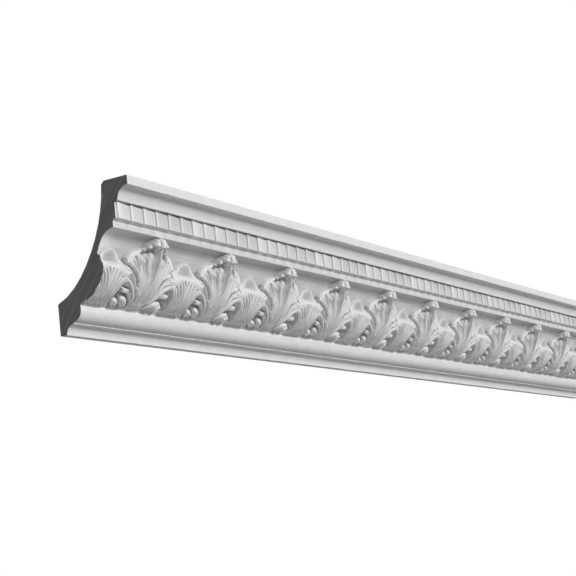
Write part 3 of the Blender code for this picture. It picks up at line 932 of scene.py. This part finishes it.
# %% The finish, put together
def primed_white():
    """Matte primer on every cast face, with painted shade and highlight on the band and reeds, and sawn foam
    on the two cut ends, whose dark grey is partly painted shade.
    """
    material = bpy.data.materials.new("primed_white")
    material.use_nodes = True
    tree = material.node_tree
    links = tree.links
    shader = tree.nodes["Principled BSDF"]
    place = tree.nodes.new("ShaderNodeTexCoord").outputs["Object"]
    axes = tree.nodes.new("ShaderNodeSeparateXYZ")
    links.new(place, axes.inputs["Vector"])
    off_middle = maths(tree, "ABSOLUTE", axes.outputs["X"])
    on_cut = maths(tree, "GREATER_THAN", off_middle, (LENGTH / 2 - CUT_DEPTH) * MM)
    mottle = node(tree, "ShaderNodeTexNoise", Scale=60.0, Detail=4.0)
    links.new(place, mottle.inputs["Vector"])
    shaded = tree.nodes.new("ShaderNodeVectorMath")
    shaded.operation = "SCALE"
    links.new(primer_colour(tree, mottle.outputs["Fac"]), shaded.inputs[0])
    # The primer is scaled by painted shade in the recesses and painted highlight on the ridges of the band
    # and reeds
    links.new(band_painted_shade_and_highlight(tree, axes.outputs["Z"]), shaded.inputs["Scale"])
    colour = tree.nodes.new("ShaderNodeMix")
    colour.data_type = "RGBA"
    links.new(on_cut, colour.inputs["Factor"])
    links.new(shaded.outputs["Vector"], colour.inputs["A"])
    # The cut ends get the foam grey, which is partly painted shade
    links.new(foam_and_painted_shade_colour(tree, place), colour.inputs["B"])
    links.new(colour.outputs["Result"], shader.inputs["Base Color"])
    rough = node(tree, "ShaderNodeMapRange", **{"To Min": 0.55, "To Max": 0.7})
    links.new(mottle.outputs["Fac"], rough.inputs["Value"])
    links.new(rough.outputs["Result"], shader.inputs["Roughness"])
    links.new(primer_grain(tree, place), shader.inputs["Normal"])
    shader.inputs["Specular IOR Level"].default_value = 0.35
    return material


white = primed_white()
print("finish:", len(white.node_tree.nodes), "nodes")

# %% [markdown]
# ## The run
#
# The run is the same piece again and again, so Geometry Nodes repeat it along a line of points, merge
# the seams and give it its finish. The tree has named inputs, so another pitch or length needs only
# other values.

# %% Repeating along the run
SEAM = 1e-6
REPEAT_INPUTS = (("Repeat", "NodeSocketGeometry"), ("Count", "NodeSocketInt"), ("First", "NodeSocketFloat"),
                 ("Pitch", "NodeSocketFloat"), ("Seam", "NodeSocketFloat"), ("Finish", "NodeSocketMaterial"))


def repeat_tree():
    """A node group that repeats a mesh along X, closes the seams and sets the material."""
    tree = bpy.data.node_groups.new("repeat_along_the_run", "GeometryNodeTree")
    sockets = {}
    for name, kind in REPEAT_INPUTS:
        sockets[name] = tree.interface.new_socket(name=name, in_out="INPUT", socket_type=kind).identifier
    tree.interface.new_socket(name="Run", in_out="OUTPUT", socket_type="NodeSocketGeometry")
    nodes, links = tree.nodes, tree.links
    given = nodes.new("NodeGroupInput")
    result = nodes.new("NodeGroupOutput")
    start = nodes.new("ShaderNodeCombineXYZ")
    step = nodes.new("ShaderNodeCombineXYZ")
    line = nodes.new("GeometryNodeMeshLine")
    copies = nodes.new("GeometryNodeInstanceOnPoints")
    real = nodes.new("GeometryNodeRealizeInstances")
    merge = nodes.new("GeometryNodeMergeByDistance")
    finish = nodes.new("GeometryNodeSetMaterial")
    line.mode = "OFFSET"
    links.new(given.outputs["First"], start.inputs["X"])
    links.new(given.outputs["Pitch"], step.inputs["X"])
    links.new(given.outputs["Count"], line.inputs["Count"])
    links.new(start.outputs["Vector"], line.inputs["Start Location"])
    links.new(step.outputs["Vector"], line.inputs["Offset"])
    links.new(line.outputs["Mesh"], copies.inputs["Points"])
    links.new(given.outputs["Repeat"], copies.inputs["Instance"])
    links.new(copies.outputs["Instances"], real.inputs["Geometry"])
    links.new(real.outputs["Geometry"], merge.inputs["Geometry"])
    links.new(given.outputs["Seam"], merge.inputs["Distance"])
    links.new(merge.outputs["Geometry"], finish.inputs["Geometry"])
    links.new(given.outputs["Finish"], finish.inputs["Material"])
    links.new(finish.outputs["Geometry"], result.inputs["Run"])
    return tree, sockets


def run_of_repeats(mesh):
    """The repeated mesh, longer than the run at both ends."""
    holder = bpy.data.objects.new("repeats", mesh)
    bpy.context.collection.objects.link(holder)
    tree, sockets = repeat_tree()
    modifier = holder.modifiers.new("repeat", "NODES")
    modifier.node_group = tree
    before = math.ceil((FIRST_LEAF - HALF) / LEAF_PITCH)
    after = math.ceil((LENGTH - FIRST_LEAF + HALF) / LEAF_PITCH)
    values = {"Count": before + after, "First": (FIRST_LEAF - LENGTH / 2 - before * LEAF_PITCH) * MM,
              "Pitch": LEAF_PITCH * MM, "Seam": SEAM, "Finish": white}
    for name, value in values.items():
        modifier[sockets[name]] = value
    done = evaluated_mesh(holder, "cornice_run")
    bpy.data.objects.remove(holder)
    return done


run_mesh = run_of_repeats(repeat_mesh)
print("run before cutting:", len(run_mesh.polygons), "faces")

# %% [markdown]
# ## Cutting the ends
#
# The real length is sawn square wherever it ends in the pattern. The mesh is cut the same way, with
# a plane at each end, and each open rim is closed with one face. Only true corners are kept sharp in
# the shading, so coves and leaves look round.

# %% Cutting the ends square
ON_PLANE = 1e-5
SHARP_ANGLE = 42.0


def cut_square(mesh):
    """Cut the run at its two ends and close the cuts."""
    bm = bmesh.new()
    bm.from_mesh(mesh)
    for end in (-1, 1):
        place = end * LENGTH / 2 * MM
        bmesh.ops.bisect_plane(bm, geom=bm.verts[:] + bm.edges[:] + bm.faces[:], dist=NEAR,
                               plane_co=(place, 0, 0), plane_no=(end, 0, 0), clear_outer=True)
        rim = [e for e in bm.edges if e.is_boundary and all(abs(v.co.x - place) < ON_PLANE for v in e.verts)]
        made = bmesh.ops.contextual_create(bm, geom=rim)["faces"]
        bmesh.ops.triangulate(bm, faces=made)
    bmesh.ops.recalc_face_normals(bm, faces=bm.faces[:])
    open_edges = sum(1 for e in bm.edges if not e.is_manifold)
    print("open edges:", open_edges, "triangles:", sum(len(f.verts) - 2 for f in bm.faces),
          "volume:", round(bm.calc_volume() * 1000, 3), "litres")
    bm.to_mesh(mesh)
    bm.free()


cut_square(run_mesh)
run_mesh.shade_smooth()
run_mesh.set_sharp_from_angle(angle=math.radians(SHARP_ANGLE))
cornice = bpy.data.objects.new("carved_cornice", run_mesh)
bpy.context.collection.objects.link(cornice)
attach(cornice, "root")
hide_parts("cornice")

# %% [markdown]
# ## Floor, light and camera
#
# A cornice hangs high in a room, so the pale floor lies well below it. The room is white and plain.
# An even light from the front and slightly from the right models the carving, a soft one from
# overhead lifts what looks up, and a weak one reaches the cut end. The camera looks along the run
# from below and from the left, as in the photograph.

# %% Floor
HALF_FLOOR = 2.2
FLOOR_DROP = 3.2
FLOOR_PALENESS = 0.85
CORNERS = ((-1, -1), (1, -1), (1, 1), (-1, 1))

floor_mesh = bpy.data.meshes.new("floor")
corners = [(x * HALF_FLOOR, y * HALF_FLOOR, -FLOOR_DROP) for x, y in CORNERS]
floor_mesh.from_pydata(corners, [], [(0, 1, 2, 3)])
floor = bpy.data.objects.new("floor", floor_mesh)
bpy.context.collection.objects.link(floor)
pale = bpy.data.materials.new("pale_floor")
pale.use_nodes = True
pale.node_tree.nodes["Principled BSDF"].inputs["Base Color"].default_value = (*[FLOOR_PALENESS] * 3, 1)
pale.node_tree.nodes["Principled BSDF"].inputs["Roughness"].default_value = 0.9
floor_mesh.materials.append(pale)


# %% World and lights
SUN_TURN, SUN_RISE = 14, 22
OVERHEAD_RISE = 80
SIDE_SIZE = 1.0


def white_room(seen, cast):
    """A plain white background that lights the object less than it shows."""
    world = bpy.data.worlds.new("white_room")
    world.use_nodes = True
    bpy.context.scene.world = world
    nodes, links = world.node_tree.nodes, world.node_tree.links
    background = nodes["Background"]
    path = nodes.new("ShaderNodeLightPath")
    strength = nodes.new("ShaderNodeMapRange")
    strength.inputs["To Min"].default_value = cast
    strength.inputs["To Max"].default_value = seen
    links.new(path.outputs["Is Camera Ray"], strength.inputs["Value"])
    links.new(strength.outputs["Result"], background.inputs["Strength"])
    background.inputs["Color"].default_value = (1, 1, 1, 1)


def soft_light(name, place, target, size, power):
    """A square lamp at a place, turned to its target."""
    data = bpy.data.lights.new(name, "AREA")
    data.shape = "SQUARE"
    data.size = size
    data.energy = power
    lamp = bpy.data.objects.new(name, data)
    lamp.location = place
    lamp.rotation_euler = (Vector(target) - Vector(place)).to_track_quat("-Z", "Y").to_euler()
    bpy.context.collection.objects.link(lamp)


def sun_light(name, turn, rise, power, spread):
    """Even light from the front, turned to the right by the first angle and raised by the second."""
    data = bpy.data.lights.new(name, "SUN")
    data.energy = power
    data.angle = math.radians(spread)
    lamp = bpy.data.objects.new(name, data)
    turn, rise = math.radians(turn), math.radians(rise)
    towards = Vector((math.sin(turn) * math.cos(rise), -math.cos(turn) * math.cos(rise), math.sin(rise)))
    lamp.rotation_euler = towards.to_track_quat("Z", "Y").to_euler()
    bpy.context.collection.objects.link(lamp)


white_room(seen=1.0, cast=0.12)
sun_light("key", SUN_TURN, SUN_RISE, power=2.55, spread=9)
sun_light("overhead", 0, OVERHEAD_RISE, power=1.0, spread=60)
soft_light("side", (low[0] - 2.4, -0.9, 0.3), (low[0] + 0.2, 0, 0.0), SIDE_SIZE, power=6)
bpy.context.scene.view_settings.view_transform = "Standard"

# %% Camera
CAMERA_PLACE = (low[0] - 1.2879, -0.9744, -0.2830)
CAMERA_TURN = 28.65
CAMERA_RISE = 10.29
CAMERA_ROLL = 6.50
LENS = 98.5
camera_data = bpy.data.cameras.new("camera")
camera_data.lens = LENS
camera_data.sensor_width = 36.0
camera = bpy.data.objects.new("camera", camera_data)
camera.matrix_world = (Matrix.Translation(CAMERA_PLACE)
                       @ Matrix.Rotation(math.radians(CAMERA_TURN - 90), 4, "Z")
                       @ Matrix.Rotation(math.radians(90 + CAMERA_RISE), 4, "X")
                       @ Matrix.Rotation(math.radians(-CAMERA_ROLL), 4, "Z"))
bpy.context.collection.objects.link(camera)
bpy.context.scene.camera = camera
